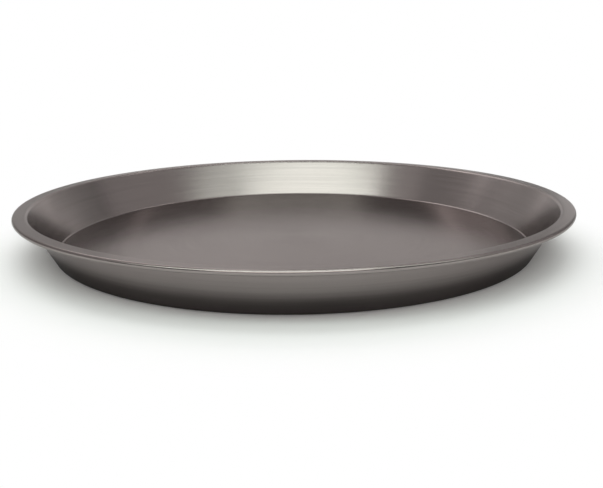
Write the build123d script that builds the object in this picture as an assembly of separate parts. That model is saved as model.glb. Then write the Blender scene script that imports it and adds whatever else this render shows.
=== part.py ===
from build123d import *
import math
import os

# A round tapered pan for baking pizza, pressed from one sheet of metal. Its floor is flat, its straight
# wall leans outward to a narrow level flange, and its edge is rolled down and under round a wire hoop.
# The origin is the centre of the underside, where the pan rests, and +Z is up.

# Driving dimensions, in millimetres and degrees
floor_diameter = 277.6  # inside, to the corner between floor and wall
rim_diameter = 320.0  # over the rolled edge
height = 25.7  # from the underside to the top of the flange
sheet = 0.6  # thickness of the metal
corner_radius = 1.5  # inside, between floor and wall
flange_width = 7.4  # from the corner between wall and flange to the outside of the rolled edge
bend_radius = 2.5  # on top, between wall and flange
wire_diameter = 1.0
wire_clearance = 0.2  # all round, between the wire and the sheet rolled over it
roll_angle = 270.0  # how far the edge goes round the wire, from its top

# Places in the section, as distance from the pan's axis and height
floor_radius = floor_diameter / 2
mouth_radius = rim_diameter / 2 - flange_width
roll_radius = wire_diameter / 2 + wire_clearance + sheet
roll_centre = Vector(rim_diameter / 2 - roll_radius, height - roll_radius)


def sheet_line(depth):
    """The sheet's outline at a depth below its top face, from the axis to the end of the rolled edge."""
    slope = math.atan2(height - sheet, mouth_radius - floor_radius)
    to_tangent = math.tan(slope / 2)
    corner_centre = Vector(floor_radius - corner_radius * to_tangent, sheet + corner_radius)
    bend_centre = Vector(mouth_radius + bend_radius * to_tangent, height - bend_radius)
    turn = math.degrees(slope)
    corner = CenterArc(corner_centre, corner_radius + depth, start_angle=-90, arc_size=turn)
    bend = CenterArc(bend_centre, bend_radius - depth, start_angle=90 + turn, arc_size=-turn)
    roll = CenterArc(roll_centre, roll_radius - depth, start_angle=90, arc_size=-roll_angle)
    floor = Line((0, sheet - depth), corner @ 0)
    wall = Line(corner @ 1, bend @ 0)
    flange = Line(bend @ 1, roll @ 0)
    return [floor, corner, wall, bend, flange, roll]


def pan_shell():
    """Floor, wall, flange and rolled edge, one sheet all the way."""
    top_face = sheet_line(depth=0)
    under_face = sheet_line(depth=sheet)
    axis_end = Line(top_face[0] @ 0, under_face[0] @ 0)
    cut_edge = Line(top_face[-1] @ 1, under_face[-1] @ 1)
    section = make_face([*top_face, cut_edge, *under_face, axis_end])
    return revolve(Plane.XZ * section, Axis.Z)


def rim_wire():
    """The round hoop inside the rolled edge, clear of it all round."""
    section = Pos(roll_centre.X, roll_centre.Y) * Circle(wire_diameter / 2)
    return revolve(Plane.XZ * section, Axis.Z)


os.makedirs("parts", exist_ok=True)
for make_piece in (pan_shell, rim_wire):
    export_step(make_piece(), f"parts/{make_piece.__name__}.step")
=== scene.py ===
import math

import bpy
from mathutils import Matrix, Vector


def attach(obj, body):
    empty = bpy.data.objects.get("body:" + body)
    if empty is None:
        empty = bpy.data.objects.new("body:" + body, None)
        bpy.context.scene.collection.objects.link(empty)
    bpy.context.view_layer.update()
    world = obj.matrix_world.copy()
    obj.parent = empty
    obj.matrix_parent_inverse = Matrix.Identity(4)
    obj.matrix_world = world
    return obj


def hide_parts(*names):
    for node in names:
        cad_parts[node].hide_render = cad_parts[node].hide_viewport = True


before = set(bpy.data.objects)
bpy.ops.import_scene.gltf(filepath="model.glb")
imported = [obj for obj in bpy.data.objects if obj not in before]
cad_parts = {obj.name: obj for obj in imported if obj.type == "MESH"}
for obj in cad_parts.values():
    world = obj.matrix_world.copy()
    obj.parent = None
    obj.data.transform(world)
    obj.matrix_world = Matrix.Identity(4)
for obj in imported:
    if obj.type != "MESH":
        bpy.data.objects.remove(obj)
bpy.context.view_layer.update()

# The pan's section, in metres and degrees, as the solid has it
FLOOR_RADIUS = 0.1388
RIM_RADIUS = 0.160
HEIGHT = 0.0257
SHEET = 0.0006
CORNER_RADIUS = 0.0015
FLANGE_WIDTH = 0.0074
BEND_RADIUS = 0.0025
ROLL_RADIUS = 0.0013
ROLL_ANGLE = 270.0
STRAIGHT_UP = 90.0
STRAIGHT_DOWN = -90.0

# How finely the mesh is divided
TURN_STEPS = 360
DEGREES_PER_ARC_STEP = 8.0

# The pan's metal. Its patterns are sized per metre, and a share is how far a pattern changes it either way
PAN_COLOUR = (0.300, 0.267, 0.260)
PAN_ROUGHNESS = 0.235
GRAZING_TINT = (0.66, 0.65, 0.65, 1)
LINE_SHEEN = 0.3
LINE_SHEEN_TURN = 0.25
FINE_LINES_PER_METRE = 2600.0
FINE_LINE_BREAKS = 3.0
BROAD_LINES_PER_METRE = 700.0
BROAD_LINE_BREAKS = 1.5
LINE_DETAIL = 2.0
BLOTCHES_PER_METRE = 18.0
BLOTCH_DETAIL = 3.0
NOISE_RANGE = (0.3, 0.7)
FINE_SHADE_SHARE = 0.04
BROAD_SHADE_SHARE = 0.05
BLOTCH_SHADE_SHARE = 0.03
FINE_ROUGHNESS_SHARE = 0.1
BLOTCH_ROUGHNESS_SHARE = 0.06
LINE_BUMP_STRENGTH = 0.25
LINE_DEPTH = 0.00003

# The wire's metal
WIRE_DARK = (0.38, 0.38, 0.37, 1)
WIRE_LIGHT = (0.50, 0.50, 0.49, 1)
WIRE_ROUGHNESS = 0.35
WIRE_GRAINS_PER_METRE = 900.0
WIRE_GRAIN_DETAIL = 2.0

# The studio's white sheet, with the distances from the frame's origin at which its look changes
STUDIO_HALF_WIDTH = 4.0
STUDIO_FRONT = -3.0
STUDIO_BACK = 2.5
STUDIO_TOP = 2.6
SWEEP_RADIUS = 0.8
SWEEP_STEPS = 12
MATT_WHITE = (0.95, 0.95, 0.95, 1)
PAINTED_SHADE_BLACK = (0.0, 0.0, 0.0, 1)
PURE_WHITE = (1, 1, 1, 1)
WHITE_STARTS = 0.145
WHITE_FULL = 0.20
MIRRORED_STARTS = 0.1445
MIRRORED_FULL = 0.151
# Painted light: the glow that the pan mirrors of the sheet farther off
PAINTED_MIRRORED_GLOW = 0.1
# Painted shade: how far the sheet close to the pan is darkened towards black where the pan mirrors it
PAINTED_CONTACT_SHADE = 0.7

# Dim light from all round. It changes between two ends of the direction's part along +Y, which is away
# from the camera, and between two ends of its part along +X
AIR_FRONT = 0.1
AIR_DEPTH_ENDS = (-0.75, -0.1)
AIR_LEFT = 0.35
AIR_RIGHT = 0.46
AIR_SIDE_ENDS = (-0.7, 0.7)

# Lights: what lamps face, their colours, and where the one that washes the backdrop points
PAN = (0, 0, 0)
BACKDROP_MIDDLE = (-0.3, STUDIO_BACK, 0.8)
COOL_LIGHT = (0.90, 1.0, 0.93)
WARM_LIGHT = (1.0, 0.96, 0.95)

# The photograph's camera, in metres, degrees and pixels of the 603 by 488 frame
IMAGE_WIDTH = 603.0
IMAGE_HEIGHT = 488.0
CAMERA_DISTANCE = 0.41886
CAMERA_ELEVATION = 10.46
CAMERA_ROLL = -0.65
FOCAL_PIXELS = 686.1
AIM_PIXEL = (293.63, 194.45)
SENSOR_MILLIMETRES = 36.0
NEAREST_SEEN = 0.01


# Section of the sheet

def heading(angle):
    """A direction in the section, at an angle above level."""
    return Vector((math.cos(math.radians(angle)), math.sin(math.radians(angle))))


def arc(centre, radius, start, sweep):
    """Points of an arc, each with the direction from its centre."""
    steps = math.ceil(abs(sweep) / DEGREES_PER_ARC_STEP)
    outward = [heading(start + sweep * step / steps) for step in range(steps + 1)]
    return [(centre + radius * direction, direction) for direction in outward]


def sheet_line(depth, side):
    """The sheet's outline at a depth under its top face, as points with normals. They point out of the top
    where side is 1, and out of the underside where it is -1."""
    mouth_radius = RIM_RADIUS - FLANGE_WIDTH
    slope = math.atan2(HEIGHT - SHEET, mouth_radius - FLOOR_RADIUS)
    to_tangent = math.tan(slope / 2)
    corner_centre = Vector((FLOOR_RADIUS - CORNER_RADIUS * to_tangent, SHEET + CORNER_RADIUS))
    bend_centre = Vector((mouth_radius + BEND_RADIUS * to_tangent, HEIGHT - BEND_RADIUS))
    roll_centre = Vector((RIM_RADIUS - ROLL_RADIUS, HEIGHT - ROLL_RADIUS))
    turn = math.degrees(slope)
    corner = arc(corner_centre, CORNER_RADIUS + depth, STRAIGHT_DOWN, turn)
    bend = arc(bend_centre, BEND_RADIUS - depth, STRAIGHT_UP + turn, -turn)
    roll = arc(roll_centre, ROLL_RADIUS - depth, STRAIGHT_UP, -ROLL_ANGLE)
    line = [(Vector((0, SHEET - depth)), Vector((0, side)))]
    line += [(point, -side * outward) for point, outward in corner]
    line += [(point, side * outward) for point, outward in bend + roll]
    return line


def shell_section():
    """Strips of the closed section, from the floor's centre round the edge to the underside's centre."""
    top = sheet_line(0, 1)
    under = list(reversed(sheet_line(SHEET, -1)))
    along_edge = (under[0][0] - top[-1][0]).normalized()
    edge_normal = Vector((-along_edge.y, along_edge.x))
    cut_edge = [(top[-1][0], edge_normal), (under[0][0], edge_normal)]
    return [top, cut_edge, under]


# Objects

def new_object(name, data):
    """An object for a mesh, a lamp or a camera, in the scene."""
    made = bpy.data.objects.new(name, data)
    bpy.context.scene.collection.objects.link(made)
    return made


def turned(across, up, step):
    """A distance from the axis and a height, turned round the axis by some steps."""
    angle = 2 * math.pi * step / TURN_STEPS
    return (across * math.cos(angle), across * math.sin(angle), up)


def lathe(name, strips):
    """A closed solid of revolution with exact normals, from strips that start and end on the axis."""
    points, faces, normals = [], [], []

    def ring(point):
        """Adds a circle of points, or a single one on the axis, and gives their places by step."""
        start = len(points)
        count = 1 if point.x == 0 else TURN_STEPS
        points.extend(turned(point.x, point.y, step) for step in range(count))
        return [start + step % count for step in range(TURN_STEPS + 1)]

    last_ring = ring(strips[0][0][0])
    for strip in strips:
        for (_, last_normal), (point, normal) in zip(strip, strip[1:]):
            next_ring = ring(point)
            for step in range(TURN_STEPS):
                corners = [
                    (last_ring[step], last_normal, step),
                    (next_ring[step], normal, step),
                    (next_ring[step + 1], normal, step + 1),
                    (last_ring[step + 1], last_normal, step + 1),
                ]
                if last_ring[0] == last_ring[1]:
                    corners.pop()
                if next_ring[0] == next_ring[1]:
                    corners.pop(2)
                faces.append([vertex for vertex, _, _ in corners])
                normals.extend(turned(facing.x, facing.y, at) for _, facing, at in corners)
            last_ring = next_ring
    mesh = bpy.data.meshes.new(name)
    mesh.from_pydata(points, [], faces)
    mesh.shade_smooth()
    mesh.normals_split_custom_set(normals)
    return new_object(name, mesh)


# Shader nodes

def node(tree, kind, inputs, **settings):
    """A new node. Each of its inputs takes a plain value or the output of another node."""
    made = tree.nodes.new(kind)
    for setting, value in settings.items():
        setattr(made, setting, value)
    for place, value in inputs.items():
        if isinstance(value, bpy.types.NodeSocket):
            tree.links.new(value, made.inputs[place])
        else:
            made.inputs[place].default_value = value
    return made


def calculated(tree, operation, *values):
    return node(tree, "ShaderNodeMath", dict(enumerate(values)), operation=operation).outputs[0]


def vector_node(tree, operation, *values):
    return node(tree, "ShaderNodeVectorMath", dict(enumerate(values)), operation=operation)


def ramp(tree, value, ends, low, high, shape="LINEAR"):
    """Goes from low to high while the value goes from one end to the other."""
    ranges = {"Value": value, "From Min": ends[0], "From Max": ends[1], "To Min": low, "To Max": high}
    return node(tree, "ShaderNodeMapRange", ranges, interpolation_type=shape).outputs["Result"]


def noise(tree, place, scale, detail):
    inputs = {"Vector": place, "Scale": scale, "Detail": detail}
    return node(tree, "ShaderNodeTexNoise", inputs).outputs["Fac"]


def varied(tree, pattern, share):
    """A factor about 1 that follows a pattern and departs from 1 by a share at most."""
    return ramp(tree, pattern, NOISE_RANGE, 1 - share, 1 + share)


def object_place(tree):
    return node(tree, "ShaderNodeTexCoord", {}).outputs["Object"]


def new_material(name, surface):
    """A material whose surface comes from a function that builds it in the node tree."""
    material = bpy.data.materials.new(name)
    material.use_nodes = True
    material.node_tree.nodes.clear()
    node(material.node_tree, "ShaderNodeOutputMaterial", {"Surface": surface(material.node_tree)})
    return material


# Materials

def spun_lines(tree):
    """Fine and broad noise, each stretched into lines that run round the pan's axis."""
    split = node(tree, "ShaderNodeSeparateXYZ", {0: object_place(tree)}).outputs
    level = node(tree, "ShaderNodeCombineXYZ", {"X": split["X"], "Y": split["Y"]}).outputs[0]
    outward = vector_node(tree, "NORMALIZE", level).outputs[0]
    across = calculated(tree, "ADD", vector_node(tree, "LENGTH", level).outputs["Value"], split["Z"])
    patterns = []
    for per_metre, breaks in (
        (FINE_LINES_PER_METRE, FINE_LINE_BREAKS),
        (BROAD_LINES_PER_METRE, BROAD_LINE_BREAKS),
    ):
        scaled = calculated(tree, "MULTIPLY", across, per_metre)
        up = node(tree, "ShaderNodeCombineXYZ", {"Z": scaled}).outputs[0]
        stretched = vector_node(tree, "MULTIPLY_ADD", outward, (breaks, breaks, 0), up).outputs[0]
        patterns.append(noise(tree, stretched, 1.0, LINE_DETAIL))
    return patterns


def spun_metal(tree):
    """Dark satin metal with fine lines that run round the pan's axis."""
    fine, broad = spun_lines(tree)
    blotches = noise(tree, object_place(tree), BLOTCHES_PER_METRE, BLOTCH_DETAIL)

    broad_shade = varied(tree, broad, BROAD_SHADE_SHARE)
    blotch_shade = varied(tree, blotches, BLOTCH_SHADE_SHARE)
    fine_shade = varied(tree, fine, FINE_SHADE_SHARE)
    shade = calculated(tree, "MULTIPLY", broad_shade, blotch_shade)
    shade = calculated(tree, "MULTIPLY", shade, fine_shade)
    colour = node(tree, "ShaderNodeVectorMath", {0: PAN_COLOUR, "Scale": shade}, operation="SCALE")

    fine_rough = varied(tree, fine, FINE_ROUGHNESS_SHARE)
    blotch_rough = varied(tree, blotches, BLOTCH_ROUGHNESS_SHARE)
    rough = calculated(tree, "MULTIPLY", fine_rough, blotch_rough)
    rough = calculated(tree, "MULTIPLY", rough, PAN_ROUGHNESS)

    relief = {"Strength": LINE_BUMP_STRENGTH, "Distance": LINE_DEPTH, "Height": fine}
    along_lines = node(tree, "ShaderNodeTangent", {}, direction_type="RADIAL", axis="Z")
    metal = {
        "Base Color": colour.outputs[0],
        "Metallic": 1.0,
        "Roughness": rough,
        "Specular Tint": GRAZING_TINT,
        "Anisotropic": LINE_SHEEN,
        "Anisotropic Rotation": LINE_SHEEN_TURN,
        "Normal": node(tree, "ShaderNodeBump", relief).outputs["Normal"],
        "Tangent": along_lines.outputs[0],
    }
    return node(tree, "ShaderNodeBsdfPrincipled", metal).outputs[0]


def drawn_wire(tree):
    """Plain bright wire, a little dull."""
    grain = noise(tree, object_place(tree), WIRE_GRAINS_PER_METRE, WIRE_GRAIN_DETAIL)
    colours = node(tree, "ShaderNodeValToRGB", {"Fac": grain})
    colours.color_ramp.elements[0].color = WIRE_DARK
    colours.color_ramp.elements[1].color = WIRE_LIGHT
    metal = {"Base Color": colours.outputs["Color"], "Metallic": 1.0, "Roughness": WIRE_ROUGHNESS}
    return node(tree, "ShaderNodeBsdfPrincipled", metal).outputs[0]


def studio_white(tree):
    """Matt white. Close to the pan it shows the shadow, and the pan mirrors it darker, a painted shade
    towards black.
    Farther off the camera sees pure white, and the pan mirrors it lighter, a painted glow that only
    reflections see."""
    reach = vector_node(tree, "LENGTH", object_place(tree)).outputs["Value"]
    ray = node(tree, "ShaderNodeLightPath", {}).outputs
    mirrored_ends = (MIRRORED_STARTS, MIRRORED_FULL)

    away = ramp(tree, reach, (WHITE_STARTS, WHITE_FULL), 0.0, 1.0, "SMOOTHSTEP")
    # Painted light: farther off, the sheet glows a little, only where the pan mirrors it
    painted_glow = ramp(tree, reach, mirrored_ends, 0.0, PAINTED_MIRRORED_GLOW)
    mirrored_painted_glow = calculated(tree, "MULTIPLY", ray["Is Glossy Ray"], painted_glow)
    bright_share = calculated(tree, "MULTIPLY_ADD", ray["Is Camera Ray"], away, mirrored_painted_glow)

    # Painted shade: where the pan mirrors the sheet close by, the sheet is darkened towards black
    painted_contact_shade = ramp(tree, reach, mirrored_ends, PAINTED_CONTACT_SHADE, 0.0)
    mirrored_painted_shade = calculated(tree, "MULTIPLY", ray["Is Glossy Ray"], painted_contact_shade)
    paints = {"Factor": mirrored_painted_shade, "A": MATT_WHITE, "B": PAINTED_SHADE_BLACK}
    paint = node(tree, "ShaderNodeMix", paints, data_type="RGBA").outputs["Result"]
    matt = node(tree, "ShaderNodeBsdfDiffuse", {"Color": paint}).outputs[0]
    bright = node(tree, "ShaderNodeEmission", {}).outputs[0]
    return node(tree, "ShaderNodeMixShader", {"Fac": bright_share, 1: matt, 2: bright}).outputs[0]


# The pan

def dress_pan():
    """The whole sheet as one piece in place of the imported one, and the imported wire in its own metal."""
    shell = lathe("pan_body", shell_section())
    shell.data.materials.append(new_material("pan_metal", spun_metal))
    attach(shell, "root")
    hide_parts("pan_shell")
    wire_metal = new_material("wire_metal", drawn_wire)
    for slot in bpy.data.objects["rim_wire"].material_slots:
        slot.material = wire_metal


# The studio

def backdrop():
    """One white sheet: a level floor that sweeps up behind the pan."""
    profile = [(STUDIO_FRONT, 0.0)]
    for step in range(SWEEP_STEPS + 1):
        angle = math.radians(STRAIGHT_UP * step / SWEEP_STEPS)
        y = STUDIO_BACK - SWEEP_RADIUS + SWEEP_RADIUS * math.sin(angle)
        z = SWEEP_RADIUS - SWEEP_RADIUS * math.cos(angle)
        profile.append((y, z))
    profile.append((STUDIO_BACK, STUDIO_TOP))
    points = [(x, y, z) for y, z in profile for x in (-STUDIO_HALF_WIDTH, STUDIO_HALF_WIDTH)]
    faces = [(2 * i, 2 * i + 1, 2 * i + 3, 2 * i + 2) for i in range(len(profile) - 1)]
    mesh = bpy.data.meshes.new("studio_sheet")
    mesh.from_pydata(points, [], faces)
    mesh.shade_smooth()
    mesh.materials.append(new_material("studio_white", studio_white))
    sheet = new_object("studio_sheet", mesh)


def around_pan(azimuth, elevation, distance):
    """A place seen from the pan. Azimuth 0 is on the camera's side, and 90 is to the right."""
    turn, tilt = math.radians(azimuth), math.radians(elevation)
    level = math.cos(tilt)
    return distance * Vector((math.sin(turn) * level, -math.cos(turn) * level, math.sin(tilt)))


def soft_lamp(name, place, size, radiance, colour=WARM_LIGHT, target=PAN):
    """An area lamp that faces a target. Its size is a level width and a depth, and its radiance is how bright
    it looks."""
    width, depth = size
    lamp = bpy.data.lights.new(name, "AREA")
    lamp.shape = "RECTANGLE"
    lamp.size = width
    lamp.size_y = depth
    lamp.energy = radiance * math.pi * width * depth
    lamp.color = colour
    holder = new_object(name, lamp)
    holder.location = place
    holder.rotation_euler = (Vector(place) - Vector(target)).to_track_quat("Z", "Y").to_euler()


def studio_light():
    """Lamps in front of the pan, over it, to its left and behind it, and one for the backdrop."""
    soft_lamp("key_softbox", around_pan(-12, 51, 1.3), size=(1.66, 0.34), radiance=2.05, colour=COOL_LIGHT)
    soft_lamp("wide_softbox", around_pan(3, 56, 1.4), size=(3.8, 0.45), radiance=1.58, colour=COOL_LIGHT)
    soft_lamp("overhead_softbox", around_pan(0, 84, 1.6), size=(1.15, 0.42), radiance=2.35, colour=COOL_LIGHT)
    soft_lamp("rim_softbox", around_pan(-2, 31, 1.5), size=(1.5, 0.8), radiance=1.4)
    soft_lamp("low_left_softbox", around_pan(-70, 43, 1.5), size=(0.7, 0.5), radiance=0.26)
    soft_lamp("high_left_softbox", around_pan(-148, 44, 1.8), size=(1.4, 0.75), radiance=0.92)
    soft_lamp("left_softbox", around_pan(-132, 28, 2.0), size=(1.0, 0.8), radiance=0.14)
    soft_lamp("back_softbox", around_pan(179.8, 15, 2.35), size=(1.5, 0.56), radiance=0.4)
    soft_lamp("low_right_softbox", (1.3, 2.2, 0.40), size=(0.5, 0.3), radiance=0.95)
    soft_lamp("far_left_softbox", (-1.25, 2.2, 0.42), size=(0.5, 0.3), radiance=0.18)
    soft_lamp("backdrop_wash", (-0.3, 1.2, 2.3), size=(4.0, 0.4), radiance=2.7, target=BACKDROP_MIDDLE)


def studio_air():
    """Dim light from all round: least from the front, and less from the left than from the right. The
    camera sees white beyond the sheet."""
    world = bpy.data.worlds.new("studio_air")
    world.use_nodes = True
    tree = world.node_tree
    tree.nodes.clear()
    direction = node(tree, "ShaderNodeTexCoord", {}).outputs["Generated"]
    toward = node(tree, "ShaderNodeSeparateXYZ", {0: direction}).outputs
    depth = ramp(tree, toward["Y"], AIR_DEPTH_ENDS, AIR_FRONT, 1.0, "SMOOTHSTEP")
    side = ramp(tree, toward["X"], AIR_SIDE_ENDS, AIR_LEFT, AIR_RIGHT, "SMOOTHSTEP")
    strength = calculated(tree, "MULTIPLY", depth, side)
    air = node(tree, "ShaderNodeBackground", {"Color": (*WARM_LIGHT, 1), "Strength": strength}).outputs[0]
    seen = node(tree, "ShaderNodeBackground", {"Color": PURE_WHITE}).outputs[0]
    by_camera = node(tree, "ShaderNodeLightPath", {}).outputs["Is Camera Ray"]
    light = node(tree, "ShaderNodeMixShader", {"Fac": by_camera, 1: air, 2: seen}).outputs[0]
    node(tree, "ShaderNodeOutputWorld", {"Surface": light})
    bpy.context.scene.world = world


def photo_camera():
    """The photograph's camera. Its aim pixel shows the pan's axis at the height of the rim."""
    camera = bpy.data.cameras.new("photo_camera")
    camera.sensor_width = SENSOR_MILLIMETRES
    camera.lens = FOCAL_PIXELS * SENSOR_MILLIMETRES / IMAGE_WIDTH
    camera.shift_x = (IMAGE_WIDTH / 2 - AIM_PIXEL[0]) / IMAGE_WIDTH
    camera.shift_y = (AIM_PIXEL[1] - IMAGE_HEIGHT / 2) / IMAGE_WIDTH
    camera.clip_start = NEAREST_SEEN
    tilt, roll = math.radians(CAMERA_ELEVATION), math.radians(CAMERA_ROLL)
    back = Vector((0, -math.cos(tilt), math.sin(tilt)))
    right = Vector((1, 0, 0))
    up = back.cross(right)
    rolled_right = math.cos(roll) * right + math.sin(roll) * up
    rolled_up = back.cross(rolled_right)
    turn = Matrix((rolled_right, rolled_up, back)).transposed().to_4x4()
    holder = new_object("photo_camera", camera)
    holder.matrix_world = Matrix.Translation(Vector((0, 0, HEIGHT)) + CAMERA_DISTANCE * back) @ turn
    bpy.context.scene.camera = holder


photo_camera()
dress_pan()
backdrop()
studio_air()
studio_light()
bpy.context.scene.view_settings.view_transform = "Standard"
